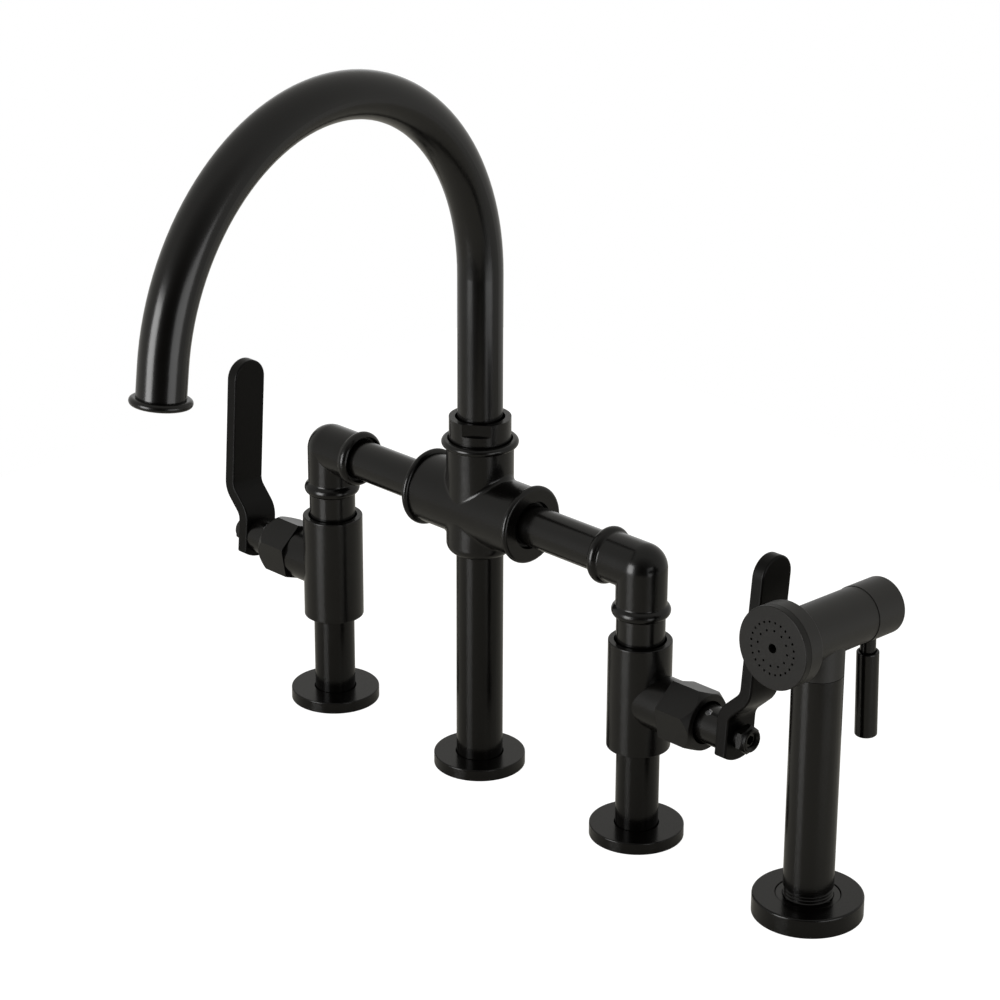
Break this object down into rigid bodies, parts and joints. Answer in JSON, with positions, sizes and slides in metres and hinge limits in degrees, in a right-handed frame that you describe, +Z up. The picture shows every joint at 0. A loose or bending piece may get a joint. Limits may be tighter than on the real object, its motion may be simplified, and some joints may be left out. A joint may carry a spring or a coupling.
{
  "type": "bridge kitchen faucet",
  "caption": "Matte black bridge kitchen faucet with a swivelling gooseneck spout, lever handles on ceramic valves and a side hand spray with a squeeze trigger.",
  "frame": {"origin": "centre of the middle post's foot, on the deck", "axes": "+X along the bridge towards the hand spray, -Y to the sink in front, +Z up"},
  "size_m": [0.4019, 0.2609, 0.3579],
  "materials": {
    "black_powder_coat": "matte black powder coat, slightly warm, very fine grain",
    "bare_brass": "turned, satin",
    "steel": "plain ground stainless steel",
    "black_rubber": "smooth black rubber",
    "valve_ceramic": "lapped white ceramic",
    "dark_plastic": "moulded black plastic"
  },
  "bodies": {
    "frame": {"centre_cross": "black_powder_coat", "centre_post": "black_powder_coat", "centre_flange": "black_powder_coat", "deck_gaskets": "black_rubber", "bridge_o_rings": "black_rubber", "cartridge_shells": "bare_brass", "fixed_discs": "valve_ceramic", "cartridge_seats": "black_rubber", "spout_nut": "black_powder_coat", "slip_washer": "dark_plastic", "sprayer_base": "black_powder_coat", "left_flange": "black_powder_coat", "left_leg_post": "black_powder_coat", "left_bridge_tube": "black_powder_coat", "left_elbow": "black_powder_coat", "left_nipple": "black_powder_coat", "left_valve_body": "black_powder_coat", "left_valve_boss": "black_powder_coat", "left_bonnet_nut": "black_powder_coat", "right_flange": "black_powder_coat", "right_leg_post": "black_powder_coat", "right_bridge_tube": "black_powder_coat", "right_elbow": "black_powder_coat", "right_nipple": "black_powder_coat", "right_valve_body": "black_powder_coat", "right_valve_boss": "black_powder_coat", "right_bonnet_nut": "black_powder_coat"},
    "spout": {"spout_tube": "black_powder_coat", "spout_collar": "bare_brass", "spout_o_rings": "black_rubber", "aerator_shell": "black_powder_coat", "aerator_insert": "dark_plastic", "aerator_washer": "black_rubber"},
    "left_handle": {"left_handle_hub": "black_powder_coat", "left_lever": "black_powder_coat", "left_lever_nut": "black_powder_coat", "left_set_screw": "steel", "left_spindle": "bare_brass", "left_spindle_o_ring": "black_rubber", "left_moving_disc": "valve_ceramic"},
    "right_handle": {"right_handle_hub": "black_powder_coat", "right_lever": "black_powder_coat", "right_lever_nut": "black_powder_coat", "right_set_screw": "steel", "right_spindle": "bare_brass", "right_spindle_o_ring": "black_rubber", "right_moving_disc": "valve_ceramic"},
    "sprayer_guide": {"sprayer_guide": "black_powder_coat"},
    "sprayer": {"sprayer_foot": "black_powder_coat", "sprayer_handle": "black_powder_coat", "sprayer_head": "black_powder_coat", "sprayer_face_plate": "black_powder_coat", "sprayer_rear_cap": "black_powder_coat", "spray_valve_block": "bare_brass", "plunger_spring": "steel", "trigger_pin": "steel"},
    "trigger": {"trigger_stem": "black_powder_coat", "trigger_rod": "black_powder_coat"},
    "plunger": {"spray_plunger": "bare_brass", "plunger_o_ring": "black_rubber"}
  },
  "joints": [
    {"name": "spout_swivel", "type": "hinge", "parent": "frame", "child": "spout", "pos_m": [0, 0, 0.152], "axis": [0, 0, 1], "continuous": true},
    {"name": "left_handle_turn", "type": "hinge", "parent": "frame", "child": "left_handle", "pos_m": [-0.1016, 0, 0.0703], "axis": [1, 0, 0], "range_deg": [0, 90]},
    {"name": "right_handle_turn", "type": "hinge", "parent": "frame", "child": "right_handle", "pos_m": [0.1016, 0, 0.0703], "axis": [1, 0, 0], "range_deg": [0, 90]},
    {"name": "sprayer_turn", "type": "hinge", "parent": "frame", "child": "sprayer_guide", "pos_m": [0.2032, 0, 0.003], "axis": [0, 0, 1], "range_deg": [-22, 36]},
    {"name": "sprayer_lift", "type": "slide", "parent": "sprayer_guide", "child": "sprayer", "axis": [0, 0, 1], "range_m": [0, 0.3]},
    {"name": "trigger_squeeze", "type": "hinge", "parent": "sprayer", "child": "trigger", "pos_m": [0.2032, 0.03275, 0.14049], "axis": [-1, 0, 0], "range_deg": [0, 8], "stiffness_Nm_per_rad": 0.4, "springref_deg": -11.46},
    {"name": "plunger_push", "type": "slide", "parent": "sprayer", "child": "plunger", "axis": [0, -0.9992, 0.0401], "range_m": [0, 0.00091]}
  ],
  "couplings": [
    {"joint": "plunger_push", "follows": "trigger_squeeze", "m_per_rad": 0.0065}
  ]
}
